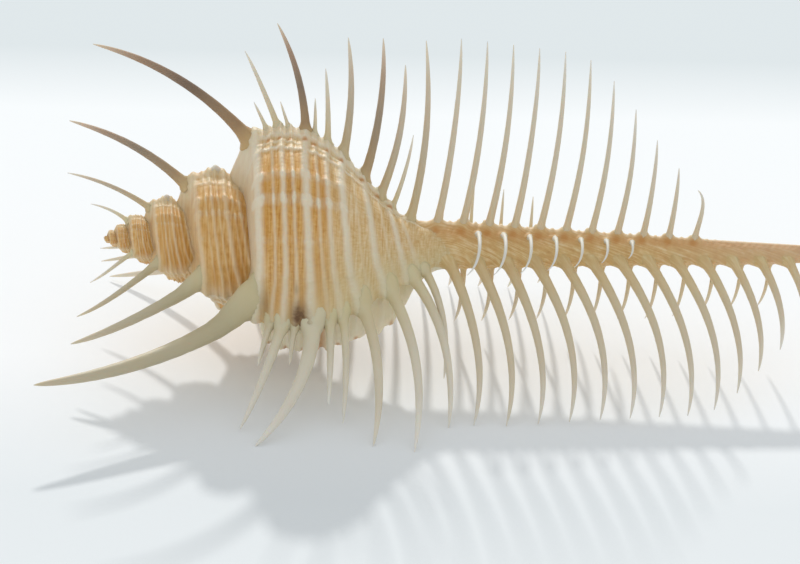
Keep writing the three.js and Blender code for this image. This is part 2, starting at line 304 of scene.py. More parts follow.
def outer_radius(x, angle):
    """The radius of the outermost surface, relief included, at many places at once."""
    past_lip = (angle - LIP_VARIX) % 360 / 360
    best = np.where(x > 46, canal_radius(x), 0.25)
    for whorl in range(0, math.floor(FIRST_TURN), -1):
        turn = past_lip + whorl
        size = size_at(turn)
        local = x / size
        there = (ramp_place(turn, local) > SUTURE) & (local < 60) & (turn <= LIP_TURN)
        radius = size * (base_radius(turn, local) + relief(turn, local)[0])
        best = np.where(there & (radius > best), radius, best)
    return best


# ---- mesh making -----------------------------------------------------
def shell_origin():
    """Where the apex lies in the frame: the axis is the middle of the canal's end."""
    points = np.array([v.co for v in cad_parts["shell"].data.vertices])
    end = points[points[:, 0] > points[:, 0].max() - 1e-5]
    y = (end[:, 1].min() + end[:, 1].max()) / 2
    z = end[:, 2].max() - CANAL_END_RADIUS * MM
    return np.array([points[:, 0].max() - LENGTH * MM, y, z])


ORIGIN = shell_origin()


def polar(x, radius, angle):
    """Points at a distance from the apex, a radius and an angle about the axis."""
    turned = np.radians(angle)
    x, radius, turned = np.broadcast_arrays(x, radius, turned)
    return np.stack([x, radius * np.cos(turned), radius * np.sin(turned)], axis=-1)


def make_piece(name, points, faces, attributes, material):
    """A smooth-shaded mesh object of the shell, whose attributes hold one number a vertex."""
    mesh = bpy.data.meshes.new(name)
    mesh.from_pydata((points.reshape(-1, 3) * MM + ORIGIN).tolist(), [], faces.tolist())
    mesh.update()
    mesh.polygons.foreach_set("use_smooth", [True] * len(mesh.polygons))
    for key, values in attributes.items():
        values = np.asarray(values, dtype=np.float32)
        if values.ndim > 1 and values.shape[-1] == 3:
            layer = mesh.attributes.new(key, "FLOAT_VECTOR", "POINT")
            layer.data.foreach_set("vector", values.reshape(-1))
        else:
            layer = mesh.attributes.new(key, "FLOAT", "POINT")
            layer.data.foreach_set("value", values.reshape(-1))
    piece = bpy.data.objects.new(name, mesh)
    bpy.context.scene.collection.objects.link(piece)
    mesh.materials.append(material)
    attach(piece, "root")
    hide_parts("shell")
    return piece


def grid_faces(rows, columns, closed=False, keep=None):
    """Quads of a grid of vertices, joined round its columns if closed, less those not kept."""
    row, column = np.meshgrid(np.arange(rows - 1), np.arange(columns - (not closed)), indexing="ij")
    after = (column + 1) % columns
    faces = np.stack([
        row * columns + column, row * columns + after,
        (row + 1) * columns + after, (row + 1) * columns + column,
    ], axis=-1).reshape(-1, 4)
    if keep is not None:
        faces = faces[keep.reshape(-1)[faces].any(axis=1)]
    return faces


def without_loose(points, faces, attributes):
    """Drops vertices that no face uses."""
    used = np.unique(faces)
    renumber = np.zeros(len(points), dtype=int)
    renumber[used] = np.arange(len(used))
    return points[used], renumber[faces], {key: value[used] for key, value in attributes.items()}


def covered(x, radius, turn):
    """Whether a point lies well inside a later whorl."""
    hidden = np.zeros(x.shape, dtype=bool)
    for ahead in (1, 2):
        later = turn + ahead
        size = size_at(later)
        local = x / size
        cover = size * base_radius(later, local)
        hidden |= (later < LIP_TURN) & (ramp_place(later, local) > 24.6) & (cover > radius + 0.5)
    return hidden


def risen(points, roots):
    """Surface points raised where the surface runs up into a spine, and how much, from 0 to 1."""
    flat = points.reshape(-1, 3)
    share = np.zeros(len(flat))
    lift = np.zeros(len(flat))
    for root in roots:
        reach = root["reach"]
        margin = reach + root["radius"].max()
        low = root["path"].min(axis=0) - margin
        high = root["path"].max(axis=0) + margin
        near = ((flat > low) & (flat < high)).all(axis=1)
        if not near.any():
            continue
        gaps = np.linalg.norm(flat[near][:, None] - root["path"][None], axis=2) - root["radius"]
        close = (1 - np.clip(gaps.min(axis=1), 0, reach) / reach) ** 2
        share[near] = np.maximum(share[near], close)
        lift[near] = np.maximum(lift[near], FILLET * reach * close)
    radius = np.maximum(np.linalg.norm(flat[:, 1:], axis=1), 1e-6)
    flat = flat.copy()
    flat[:, 1:] *= (1 + lift / radius)[:, None]
    return flat.reshape(points.shape), share.reshape(points.shape[:-1])


def whorl_strip(name, turns, locals_, roots, material):
    """A stretch of the spiral's outer surface."""
    turn = turns[:, None]
    local = locals_[None, :]
    size = size_at(turn)
    height, pale = relief(turn, local)
    radius = size * (base_radius(turn, local) + height)
    x = size * local
    points, share = risen(polar(x, radius, LIP_VARIX + 360 * turn), roots)
    hidden = covered(x, radius, turn + np.zeros_like(local))
    hidden &= ~((turn > -1.0) & (local > 45))
    faces = grid_faces(len(turns), len(locals_), keep=~hidden)
    attributes = surface_attributes(turn, local, size, pale, points, share)
    return finish_strip(name, points, faces, attributes, material)


def flattened(attributes):
    """Attributes of a grid of vertices as one row a vertex."""
    return {key: value.reshape(-1, 3) if value.ndim == 3 else value.reshape(-1)
            for key, value in attributes.items()}


def finish_strip(name, points, faces, attributes, material):
    """Makes a piece of a grid of which only some faces were kept."""
    points, faces, values = without_loose(points.reshape(-1, 3), faces, flattened(attributes))
    return make_piece(name, points, faces, values, material)


def marks(turn, local, entries):
    """How strongly a list of oval marks shows at a point."""
    past = np.where(turn > -0.35, turn * 360, from_varix(turn))
    total = np.zeros(np.broadcast(turn, local).shape)
    for centre, place, long, wide, strength in entries:
        total = np.maximum(total, strength * bump(past, centre, long) * bump(local, place, wide))
    return total


def top_spots():
    """Middles of the small orange spots in front of the top varix's spines."""
    body = [(spine["at"], TOP_VARIX + 9) for spine in TOP_BODY_SPINES[1:]]
    canal = [(at, TOP_VARIX + 28) for at, _ in along_canal(*TOP_ROW)]
    places = np.array(body + canal)
    return polar(places[:, 0], outer_radius(places[:, 0], places[:, 1]), places[:, 1])


def spotted(points, centres, size):
    """1 at the middle of a spot, fading to 0 outside it."""
    flat = points.reshape(-1, 3)
    gaps = np.full(len(flat), 99.0)
    for centre in centres:
        gaps = np.minimum(gaps, np.linalg.norm(flat - centre, axis=1))
    return np.exp(-((gaps / size) ** 4)).reshape(points.shape[:-1])


def surface_attributes(turn, local, size, pale, points, share):
    """What the material reads: paleness, warmth of the ground colour and a grain direction."""
    past = from_varix(turn)
    flat = np.zeros(np.broadcast(turn, local).shape)
    near_lip = smoothstep(turn, -0.17, -0.03)
    on_body = turn > -1.0
    right = smoothstep(local, 37, 44)
    warm = np.where(on_body, 1 - 0.62 * right, 0.85) * (1 - 0.2 * near_lip)
    cream = bump(past, 10, 11) * (turn < -0.05)
    warm = warm * (1 - 0.7 * cream) + flat
    patches = marks(turn, local, ORANGE_PATCHES) * (turn < 0)
    warm = np.maximum(warm, patches * on_body)
    arc = np.radians(turn * 360) * 18 * size
    grain = np.stack([local * size + flat, arc + flat, flat], axis=-1)
    return {
        "pale": pale * (0.55 + 0.45 * on_body) + flat, "warm": warm, "grain": grain,
        "root": share, "olive_and_shade": near_lip * smoothstep(local, 30, 44) + flat,
        "dark_patch": marks(turn, local, DARK_PATCHES) * (turn < 0.01) * (turn > -0.3), "deep": patches,
        "spot": spotted(points, top_spots(), 0.5), "inside": parietal(turn, local) + flat,
    }


def lip_sheet(roots, material):
    """The last half whorl with its outer lip, which turns over its edge and goes back inside."""
    outer = np.linspace(-0.45, LIP_TURN, 300)
    inner = np.linspace(LIP_TURN, -0.3, 60)
    edge = np.linspace(0, math.pi, 9)[1:-1]
    turns = np.concatenate([outer, LIP_TURN + 0.003 * np.sin(edge), inner])
    depth = np.concatenate([
        np.zeros(len(outer)),
        LIP_WALL * (1 - np.cos(edge)) / 2,
        LIP_WALL + 0.9 * smoothstep(-inner, -LIP_TURN, 0.2),
    ])[:, None]
    locals_ = np.linspace(23.4, 62, 250)
    turn = turns[:, None]
    local = locals_[None, :]
    size = size_at(turn)
    height, pale = relief(turn, local)
    inward = (depth / LIP_WALL).clip(0, 1)
    thin = 1 - 0.75 * smoothstep(local, 50, 60)
    radius = base_radius(turn, local) + height * (1 - 0.8 * inward) + lip_flare(turn, local)
    radius = size * (radius - depth * thin)
    x = size * local
    u = np.clip(turn / LIP_TURN, 0, 1)
    scallop = 0.9 * teeth_wave(local) * smoothstep(u, 0.6, 1)
    outside = polar(x, radius, LIP_VARIX + 360 * turn + scallop)
    points, share = risen(outside, roots)
    points = np.where(inward[..., None] > 0.5, outside, points)
    faces = grid_faces(len(turns), len(locals_))
    attributes = surface_attributes(turn, local, size, pale, points, share * (1 - inward))
    attributes["inside"] = inward * smoothstep(-turn, -LIP_TURN, -LIP_TURN + 0.01) + 0 * local
    attributes["spot"] = np.maximum(attributes["spot"], lip_spots(turn, local))
    attributes["flange"] = smoothstep(turn, 0.012, 0.03) + 0 * local
    return finish_strip("lip_whorl", points, faces, attributes, material)


def teeth_wave(local):
    """1 on a tooth of the lip's edge and -1 between two."""
    return np.cos(2 * math.pi * (local - TOOTH_PLACE) / TOOTH_SPACING)


def lip_flare(turn, local):
    """The outer lip's flange past the last varix: it dips, then turns out in small teeth."""
    u = np.clip(turn / LIP_TURN, 0, 1)
    dip = -1.1 * np.sin(math.pi * np.clip(u * 1.15, 0, 1)) ** 1.5
    reach = 1.5 + 1.2 * bump(local, 43, 6) + 3.2 * bump(local, 48.8, 3.6)
    turned_out = reach * smoothstep(u, 0.15, 1)
    teeth = TOOTH_HEIGHT * teeth_wave(local) * smoothstep(u, 0.5, 1)
    body = 1 - smoothstep(local, 50, 57)
    return (dip + turned_out + teeth) * body


def lip_spots(turn, local):
    """Orange spots between the teeth along the lip's edge."""
    u = np.clip(turn / LIP_TURN, 0, 1)
    edge = smoothstep(u, 0.80, 0.92)
    row = np.clip(np.cos(2 * math.pi * (local - 37.6) / 2.9), 0, 1) ** 4
    tall = 0.9 * smoothstep(u, 0.2, 0.5) * bump(local, 37.6, 0.65)
    return np.maximum(edge * row, tall) * (1 - smoothstep(local, 48, 52)) * smoothstep(local, 27, 29)


def canal_piece(roots, material):
    """The siphonal canal: a thick tube, open along a narrow slit underneath."""
    places = np.concatenate([np.linspace(30, 56, 40), np.linspace(56, LENGTH, 330)[1:]])
    gap = 9.0
    outer = np.linspace(SLIT_ANGLE + gap, SLIT_ANGLE + 360 - gap, 64)
    inner = outer[::-4]
    angle = np.concatenate([outer, inner])[None, :]
    is_inner = np.concatenate([np.zeros(len(outer)), np.ones(len(inner))])[None, :]
    x = places[:, None]
    radius = canal_radius(x)
    ridges = sum(0.16 * bump(angle_gap(angle, row), 0, 15) for row in (TOP_VARIX, LIP_VARIX, FAR_VARIX))
    turned = np.radians(angle)
    threads = 0.012 * np.cos(turned * 26) + 0.010 * waver(x * 2.0, 1) * np.cos(turned * 9)
    lips = 0.10 * bump(angle_gap(angle, SLIT_ANGLE), 0, 16)
    crest = bump(angle_gap(angle, TOP_VARIX - 2), 0, 11)
    knobs = 0.11 * np.clip(np.cos(x * 4.4) + 0.5 * waver(x, 2), 0, 1.2) * crest
    knobs = knobs * (1 - smoothstep(x, 96, 108))
    growth = 0.016 * np.cos(x * 5.2 + turned * 9) * (1 - crest)
    grown = radius * (1 + ridges + lips + threads + knobs + growth)
    body_radius = np.where(is_inner > 0, radius * 0.55, grown)
    outside = polar(x, body_radius, angle)
    points, share = risen(outside, roots)
    points = np.where(is_inner[..., None] > 0, outside, points)
    rows, columns = points.shape[:2]
    faces = grid_faces(rows, columns, closed=True)
    start = np.arange(columns)[::-1]
    end = (rows - 1) * columns + np.arange(columns)
    faces = faces.tolist() + bridged(start, len(outer)) + bridged(end, len(outer))
    flat = np.zeros(points.shape[:2])
    below_top = bump(angle_gap(angle, TOP_VARIX + 32), 0, 24)
    grain = np.stack([turned * radius * 1.2, x * 0.35 + flat, flat], axis=-1)
    attributes = {
        "pale": 0.15 + flat, "warm": 0.55 + flat, "grain": grain, "root": share * (1 - is_inner),
        "inside": is_inner + flat, "canal": smoothstep(x, 46, 60) + flat,
        "rose": smoothstep(x, 84, 122) + flat, "band": below_top + flat,
        # The crest attribute marks where a painted highlight runs along the canal's top edge.
        "crest": crest + flat,
        "spot": 0.85 * spotted(points, top_spots(), 0.75) * (1 - is_inner),
    }
    return make_piece("canal", points, np.array(faces, dtype=object), flattened(attributes), material)


def bridged(ring, outer_count):
    """Faces that close a cut ring of the canal, between its outer and inner line."""
    faces = []
    inner_count = len(ring) - outer_count
    reverse = ring[0] > ring[-1]
    outer = ring[::-1][:outer_count] if reverse else ring[:outer_count]
    inner = (ring[::-1] if reverse else ring)[outer_count:][::-1]
    step = outer_count // inner_count
    for i in range(inner_count - 1):
        a = i * step
        loop = [int(v) for v in outer[a:a + step + 1]] + [int(inner[i + 1]), int(inner[i])]
        faces.append(loop[::-1] if reverse else loop)
    return faces


def angle_gap(a, b):
    """The signed difference of two angles, from -180 to 180 degrees."""
    return (a - b + 180) % 360 - 180


# ---- spines ----------------------------------------------------------
# The olive entry gives a spine an olive tint that also paints shade, darkening it outward from the root.
LIP_BODY_SPINES = [
    dict(at=26.7, length=41, lean=-42, tip_lean=-66, to=172, width=3.4, run=32, run_x=2.3, heavy=1.0,
         joint=8.5, olive_and_shade=0.9),
    dict(at=29.8, length=9, lean=-12, width=1.4, to=230, run_x=0.8),
    dict(at=31.7, length=21, lean=-8, tip_lean=-26, to=232, width=1.9, run=28, run_x=0.7, white=0.15),
    dict(at=33.7, length=8, lean=-5, width=1.2, to=230, run_x=0.4),
    dict(at=36.3, length=32, lean=6, tip_lean=-42, to=220, width=2.8, run=30, run_x=0.2, white=0.22),
    dict(at=39.2, length=16, lean=4, tip_lean=-2, to=235, width=1.6, run_x=-0.3),
    dict(at=41.2, length=20, lean=8, tip_lean=-4, to=235, width=1.5, run_x=-0.5),
    dict(at=44.0, length=32, lean=22, tip_lean=-10, to=219, width=2.1, run=28, run_x=-0.8),
    dict(at=48.2, length=36, lean=26, tip_lean=-8, to=214, width=2.1, run=28, run_x=-0.9),
    dict(at=51.6, length=31, lean=34, tip_lean=-6, to=228, width=1.9, run=28, run_x=-1.2),
    dict(at=53.8, length=22, lean=30, tip_lean=-8, to=228, width=1.5, run=22, run_x=-1.2),
]
TOP_BODY_SPINES = [
    dict(at=25.8, length=31.5, lean=-38, tip_lean=-78, width=2.0, dark=1.0, heavy=0.9),
    dict(at=28.4, length=6, lean=-25, width=0.8),
    dict(at=30.2, length=15, lean=-18, tip_lean=-28, width=1.1),
    dict(at=31.9, length=5.5, lean=-18, width=0.7),
    dict(at=34.4, length=20, lean=0, tip_lean=-28, width=1.5, dark=0.9),
    dict(at=35.9, length=7, lean=0, width=0.8),
    dict(at=38.0, length=13.5, lean=2, tip_lean=-6, width=1.1),
    dict(at=40.4, length=21, lean=12, tip_lean=-8, width=1.5, dark=0.3),
    dict(at=43.8, length=25, lean=18, tip_lean=-4, width=1.6, dark=0.7),
    dict(at=46.4, length=24, lean=22, tip_lean=-2, width=1.5, dark=0.25),
    dict(at=48.5, length=14, lean=22, tip_lean=8, width=0.9),
    dict(at=51.6, length=32, lean=14, tip_lean=-6, width=1.5, dark=0.2),
]
FAR_BODY_SPINES = [
    dict(at=22.0, length=30, lean=-38, tip_lean=-64, width=2.0),
    dict(at=27.5, length=17, lean=-12, tip_lean=-24, width=1.4),
    dict(at=31.5, length=26, lean=-2, tip_lean=-20, width=1.6),
    dict(at=35.5, length=16, lean=4, width=1.2),
    dict(at=39.0, length=30, lean=14, tip_lean=-6, width=1.7),
    dict(at=43.0, length=32, lean=18, tip_lean=-6, width=1.7),
]
# Shoulder spines of the earlier whorls, by how many varices they are before the lip.
SPIRE_SPINES = [
    dict(back=3, length=24, lean=-50, tip_lean=-72, drift=52, width=2.2, run=28, run_x=1.5, heavy=0.8,
         joint=5.0, olive_and_shade=0.8),
    dict(back=4, length=22.5, lean=-46, tip_lean=-76, drift=0, width=1.7, dark=0.8),
    dict(back=5, length=16, lean=-50, tip_lean=-66, drift=-10, width=1.2),
    dict(back=6, length=16.5, lean=-42, tip_lean=-64, drift=70, width=1.3, run=24, run_x=1.0, heavy=0.6,
         joint=3.2, olive_and_shade=0.7),
    dict(back=7, length=15, lean=-54, tip_lean=-80, drift=0, width=1.0, dark=0.35),
    dict(back=8, length=9, lean=-52, tip_lean=-70, drift=0, width=0.9),
    dict(back=9, length=9, lean=-44, tip_lean=-58, drift=70, width=0.8, run=20, run_x=0.7, joint=2.0),
    dict(back=10, length=7, lean=-50, tip_lean=-80, drift=0, width=0.7),
]
# Small knobs on the earlier top varices.
KNOBS = [
    dict(back=4, place=35.3, length=2.5, width=1.9, lean=-8, drift=0, dark=0.2, stub=1),
    dict(back=7, place=35.5, length=1.8, width=1.3, lean=-8, drift=0, dark=0.2, stub=1),
]


def spire_spines():
    """The spines and knobs of the earlier whorls, with their places and angles."""
    spines = []
    for entry in SPIRE_SPINES + KNOBS:
        spine = dict(entry)
        back = spine.pop("back")
        angle = LIP_VARIX - VARIX_STEP * back
        at = spine.pop("place", SHOULDER) * float(size_at(-back / 3))
        spines.append(dict(spine, at=at, start=angle, to=angle + spine.pop("drift")))
    return spines


def along_canal(first, last, count):
    """Evenly spaced places along the canal, with how far along each is, from 0 to 1."""
    return [(first + (last - first) * i / (count - 1), i / (count - 1)) for i in range(count)]


def canal_rows():
    """The long spines of the three rows along the canal."""
    lip = [dict(at=at, start=LIP_VARIX - 3, to=LIP_VARIX + 28, bend=2, tip_lean=-14,
                length=33 - 3 * u - 15 * float(smoothstep(u, 0.6, 1.05)),
                lean=20 + 5 * math.sin(math.pi * u), width=1.9 - 0.35 * u,
                run=34, run_x=-1.7, gold=1.0)
           for at, u in along_canal(58, 114.5, 13)]
    top = [dict(at=at, start=TOP_VARIX, lean=13, tip_lean=-1 - 50 * (u > 0.95), dark=0.05,
                bend=1 + 4 * (u > 0.95), gold=0.9, white=0.25,
                length=33 - 3 * u - 21 * float(smoothstep(u, 0.42, 1.08)), width=1.35 - 0.3 * u)
           for at, u in along_canal(*TOP_ROW)]
    far = [dict(at=at, start=FAR_VARIX, lean=12, tip_lean=-6, gold=1.0,
                length=33 - 2 * u - 20 * float(smoothstep(u, 0.5, 1.1)), width=1.4 - 0.3 * u)
           for at, u in along_canal(47, 84, 8)]
    return lip + top + far


def short_rows():
    """The short spines between the long ones, turned towards the side the shell grew to."""
    lip = [dict(at=at, start=LIP_VARIX + 68, to=LIP_VARIX + 108, lean=2, tip_lean=-10, gold=1.0,
                length=15 - 3 * float(smoothstep(u, 0.6, 1)), width=1.0 - 0.2 * u)
           for at, u in along_canal(61, 112, 12)]
    top = [dict(at=at, foot=TOP_VARIX + 25, start=TOP_VARIX + 65, to=TOP_VARIX + 155, lean=2,
                tip_lean=-50, bend=4, length=13 - 8 * u ** 1.5, width=0.85 - 0.2 * u, white=0.7)
           for at, u in along_canal(63.2, 88.8, 7)]
    far = [dict(at=at, start=FAR_VARIX + 75, to=FAR_VARIX + 90, lean=4, length=10 - 3 * u, width=0.7)
           for at, u in along_canal(57, 72, 4)]
    return lip + top + far


def all_spines():
    """Every spine, each with the angle it starts from."""
    def standing(start, entries):
        return [dict(dict(start=start), **entry) for entry in entries]
    return (standing(LIP_VARIX, LIP_BODY_SPINES) + standing(TOP_VARIX, TOP_BODY_SPINES)
            + standing(FAR_VARIX, FAR_BODY_SPINES) + spire_spines() + canal_rows() + short_rows())


def spine_path(spine, steps):
    """A spine's centre line, as in the CAD: it stops where its tip stands on the surface."""
    start, to = spine["start"], spine.get("to", spine["start"])
    lean = spine.get("lean", 0)
    tip_lean = spine.get("tip_lean", lean)
    bend = spine.get("bend", 1)
    u = (np.arange(steps) + 0.5) / steps
    tilt = np.radians(lean + (tip_lean - lean) * u ** bend)
    turned = np.radians(start + (to - start) * u)
    direction = np.stack([
        np.sin(tilt), np.cos(tilt) * np.cos(turned), np.cos(tilt) * np.sin(turned),
    ], axis=-1)
    travelled = np.vstack([np.zeros(3), np.cumsum(direction, axis=0)]) / steps
    foot = spine.get("foot", start)
    root_radius = surface_radius(spine["at"], foot) - 0.5 * spine["width"] - 0.3
    root = polar(spine["at"], root_radius, foot)
    length = spine["length"]
    while root[2] + length * travelled[-1, 2] < -AXIS_HEIGHT:
        length *= 0.995
    return root + length * travelled, length


def spine_line(spine, number):
    """Centre line, radii and distance from the foot of a spine, with its run-in along the shell."""
    steps = 40 if spine["length"] > LONG_SPINE else 20
    path, length = spine_path(spine, steps)
    width = spine["width"]
    u = np.linspace(0, 1, steps + 1)
    path[:, 0] += 0.012 * length * np.sin(math.pi * u) ** 2 * (hashed(number) - 0.5)
    distance = u * length
    slender = 0.5 * width * (1 - 0.55 * u) * np.sqrt(np.clip(1 - u ** 6, 0, 1))
    heavy = 1 + spine.get("heavy", 0.3) * np.exp(-((distance / (1.3 * width)) ** 1.2))
    if spine.get("stub"):
        slender = 0.5 * width * (1 - u ** 2) ** 0.6
        heavy = 1.0
    radius = np.maximum(LEAST_SPINE_RADIUS, slender * heavy * (1 + 0.03 * waver(distance * 1.7, number)))
    run = spine.get("run", RUN_IN if spine["start"] == LIP_VARIX else 0)
    if run:
        path, radius, distance = run_in(spine, run, path, radius, distance)
    return path, radius, distance, length


def run_in(spine, run, path, radius, distance):
    """Replaces the start of a spine by a curve that leaves the shell's surface gently."""
    width = spine["width"]
    joint = int(np.searchsorted(distance, spine.get("joint", 1.1 * width + 0.9)))
    foot_angle = spine["start"] - run
    foot_x = spine["at"] + spine.get("run_x", 0.0)
    top = polar(foot_x, surface_radius(foot_x, foot_angle), foot_angle)
    foot = polar(foot_x, surface_radius(foot_x, foot_angle) - 0.75 * width, foot_angle)
    ahead = polar(spine["at"], surface_radius(spine["at"], spine["start"]), spine["start"]) - top
    ahead /= np.linalg.norm(ahead)
    away = path[joint + 1] - path[joint - 1]
    away /= np.linalg.norm(away)
    span = np.linalg.norm(path[joint] - foot)
    v = np.linspace(0, 1, 15)[:-1, None]
    curve = ((2 * v ** 3 - 3 * v ** 2 + 1) * foot + (v ** 3 - 2 * v ** 2 + v) * span * ahead
             + (3 * v ** 2 - 2 * v ** 3) * path[joint] + (v ** 3 - v ** 2) * span * away)
    before = distance[joint] - span * (1 - v[:, 0])
    full = np.interp(before, distance, radius)
    grown = full * (0.3 + 0.7 * smoothstep(v[:, 0], 0, 0.7))
    return (np.vstack([curve, path[joint:]]), np.append(grown, radius[joint:]),
            np.append(before, distance[joint:]))


def fillet_reach(spine):
    """How far from a spine its fillet goes: a short one for spines with a foot of their own."""
    return 0.7 if spine.get("foot") else 0.55 * spine["width"] + 0.8


def spine_root(spine, number):
    """The part of a spine near the shell, which the shell's surface rises to meet."""
    path, radius, distance, _ = spine_line(spine, number)
    near = distance < FILLET_ALONG * spine["width"] + 2
    return dict(path=path[near], radius=radius[near], reach=fillet_reach(spine))


def across(path, start):
    """Unit vectors along a spine, and two directions across it at each point of its line."""
    tangent = np.gradient(path, axis=0)
    tangent /= np.linalg.norm(tangent, axis=1)[:, None]
    side = np.cross(tangent, polar(0.0, 1.0, start + 90))
    short = np.linalg.norm(side, axis=1)[:, None]
    side = np.where(short > 0.15, side / np.maximum(short, 1e-6), np.array([1.0, 0, 0]))
    side -= tangent * (side * tangent).sum(axis=1)[:, None]
    side /= np.linalg.norm(side, axis=1)[:, None]
    return tangent, side, np.cross(tangent, side)


def fillet_swell(spine, points, distance):
    """How far a tube's points move out where they lie close to the shell's surface."""
    reach = fillet_reach(spine)
    near = distance < FILLET_ALONG * spine["width"] + 2
    close = points[near]
    angle = np.degrees(np.arctan2(close[..., 2], close[..., 1]))
    height = np.full(points.shape[:2], 99.0)
    height[near] = np.linalg.norm(close[..., 1:], axis=-1) - outer_radius(close[..., 0], angle)
    return FILLET * reach * (1 - np.clip(np.abs(height), 0, reach) / reach) ** 2


def spine_attributes(spine, number, distance, length, around):
    """What the material reads on a spine: how far along it a point is, its tint and its grain."""
    width = spine["width"]
    flat = np.zeros((len(distance), len(around)))
    far = np.clip(distance, 0, None)[:, None] + flat
    grain = np.stack([
        np.cos(around)[None, :] * 1.4 + flat, np.sin(around)[None, :] * 1.4 + flat, far * 0.35 + 3 * number,
    ], axis=-1)
    values = {"tip": far / length, "near": np.exp(-far / (1.6 * width + 0.6)), "grain": grain,
              "spine": flat + 1, "tone": flat + hashed(number + 5)}
    for key in ("dark", "white", "gold"):
        values[key] = flat + spine.get(key, 0.0)
    # On a spine, olive is partly painted shade: it darkens the spine from its root outward.
    values["olive_and_shade"] = spine.get("olive_and_shade", 0.0) * (0.35 + 0.65 * smoothstep(far, 0, 2.4 * width))
    return {key: np.concatenate([rows, rows[-1:]]) for key, rows in flattened(values).items()}


def spine_mesh(spine, number):
    """Points, faces and attributes of one spine: a tapering tube whose foot flows out of its cord."""
    path, radius, distance, length = spine_line(spine, number)
    rows = len(path)
    sides = 16 if spine["length"] > LONG_SPINE else 10
    tangent, side, other = across(path, spine["start"])
    around = np.arange(sides) * 2 * math.pi / sides
    outward = (side[:, None, :] * np.sin(around)[None, :, None]
               + other[:, None, :] * np.cos(around)[None, :, None])
    points = path[:, None, :] + radius[:, None, None] * outward
    points = points + fillet_swell(spine, points, distance)[..., None] * outward
    points = np.vstack([points.reshape(-1, 3), path[-1] + tangent[-1] * 0.1])
    last = (rows - 1) * sides
    faces = grid_faces(rows, sides, closed=True).tolist()
    faces += [[last + i, last + (i + 1) % sides, last + sides] for i in range(sides)]
    return points, faces, spine_attributes(spine, number, distance, length, around)


def spine_piece(name, spines, material, first_number=0):
    """Many spines joined in one mesh."""
    points, faces, values = [], [], {}
    offset = 0
    for number, spine in enumerate(spines):
        p, f, v = spine_mesh(spine, first_number + number)
        points.append(p)
        faces.extend([[index + offset for index in face] for face in f])
        for key, value in v.items():
            values.setdefault(key, []).append(value)
        offset += len(p)
    joined = {key: np.concatenate(parts) for key, parts in values.items()}
    return make_piece(name, np.vstack(points), np.array(faces, dtype=object), joined, material)


# ---- material --------------------------------------------------------
def srgb(red, green, blue):
    """A linear colour from 0-255 display values."""
    def linear(c):
        c = c / 255
        return c / 12.92 if c <= 0.04045 else ((c + 0.055) / 1.055) ** 2.4
    return (linear(red), linear(green), linear(blue), 1.0)


class Nodes:
    """Short calls for building a material's node tree."""

    def __init__(self, material):
        material.use_nodes = True
        self.tree = material.node_tree
        self.shader = self.tree.nodes["Principled BSDF"]

    def link(self, source, target):
        self.tree.links.new(source, target)

    def feed(self, node, socket, value):
        if isinstance(value, bpy.types.NodeSocket):
            self.link(value, node.inputs[socket])
        else:
            node.inputs[socket].default_value = value

    def object_place(self):
        return self.tree.nodes.new("ShaderNodeTexCoord").outputs["Object"]

    def attribute(self, name, vector=False):
        node = self.tree.nodes.new("ShaderNodeAttribute")
        node.attribute_name = name
        return node.outputs["Vector" if vector else "Fac"]

    def math(self, operation, a, b=0.0):
        node = self.tree.nodes.new("ShaderNodeMath")
        node.operation = operation
        self.feed(node, 0, a)
        self.feed(node, 1, b)
        return node.outputs[0]

    def mix(self, factor, a, b):
        node = self.tree.nodes.new("ShaderNodeMix")
        node.data_type = "RGBA"
        node.clamp_factor = True
        self.feed(node, 0, factor)
        self.feed(node, 6, a)
        self.feed(node, 7, b)
        return node.outputs[2]

    def tinted(self, colour, name, amount, tint):
        """A colour mixed with a tint where an attribute says so."""
        return self.mix(self.math("MULTIPLY", self.attribute(name), amount), colour, tint)

    def noise(self, vector, scale, detail=3.0):
        node = self.tree.nodes.new("ShaderNodeTexNoise")
        self.link(vector, node.inputs["Vector"])
        node.inputs["Scale"].default_value = scale
        node.inputs["Detail"].default_value = detail
        node.inputs["Roughness"].default_value = 0.55
        return node.outputs["Fac"]

    def scaled(self, vector, scale):
        node = self.tree.nodes.new("ShaderNodeMapping")
        self.link(vector, node.inputs["Vector"])
        node.inputs["Scale"].default_value = scale
        return node.outputs["Vector"]

    def ramp(self, value, stops):
        node = self.tree.nodes.new("ShaderNodeValToRGB")
        elements = node.color_ramp.elements
        for element, (place, colour) in zip(elements, stops):
            element.position, element.color = place, colour
        for place, colour in stops[2:]:
            elements.new(place).color = colour
        self.link(value, node.inputs["Fac"])
        return node.outputs["Color"]

    def bump(self, height, strength, distance, normal=None):
        node = self.tree.nodes.new("ShaderNodeBump")
        node.inputs["Strength"].default_value = strength
        node.inputs["Distance"].default_value = distance
        self.link(height, node.inputs["Height"])
        if normal is not None:
            self.link(normal, node.inputs["Normal"])
        return node.outputs["Normal"]


def body_colour(n, streaks, flecks, clouds):
    """Orange ground, tan towards the canal, under ivory cords."""
    orange = n.ramp(streaks, [
        (0.36, srgb(192, 128, 38)), (0.50, srgb(215, 162, 80)), (0.64, srgb(226, 185, 120)),
    ])
    tan = n.ramp(streaks, [
        (0.36, srgb(210, 176, 116)), (0.50, srgb(222, 199, 154)), (0.64, srgb(230, 214, 182)),
    ])
    ground = n.mix(n.attribute("warm"), tan, orange)
    ground = n.tinted(ground, "deep", 0.7, srgb(204, 144, 58))
    ivory = n.mix(clouds, srgb(222, 206, 176), srgb(236, 226, 206))
    worn = n.math("MULTIPLY", flecks, 0.3)
    pale = n.math("SUBTRACT", n.math("MULTIPLY", n.attribute("pale"), 1.1), worn)
    colour = n.mix(n.math("MAXIMUM", pale, 0.0), ground, ivory)
    # On the body, olive is the shell's own olive tint near the lip.
    return n.tinted(colour, "olive_and_shade", 0.35, srgb(212, 198, 150))


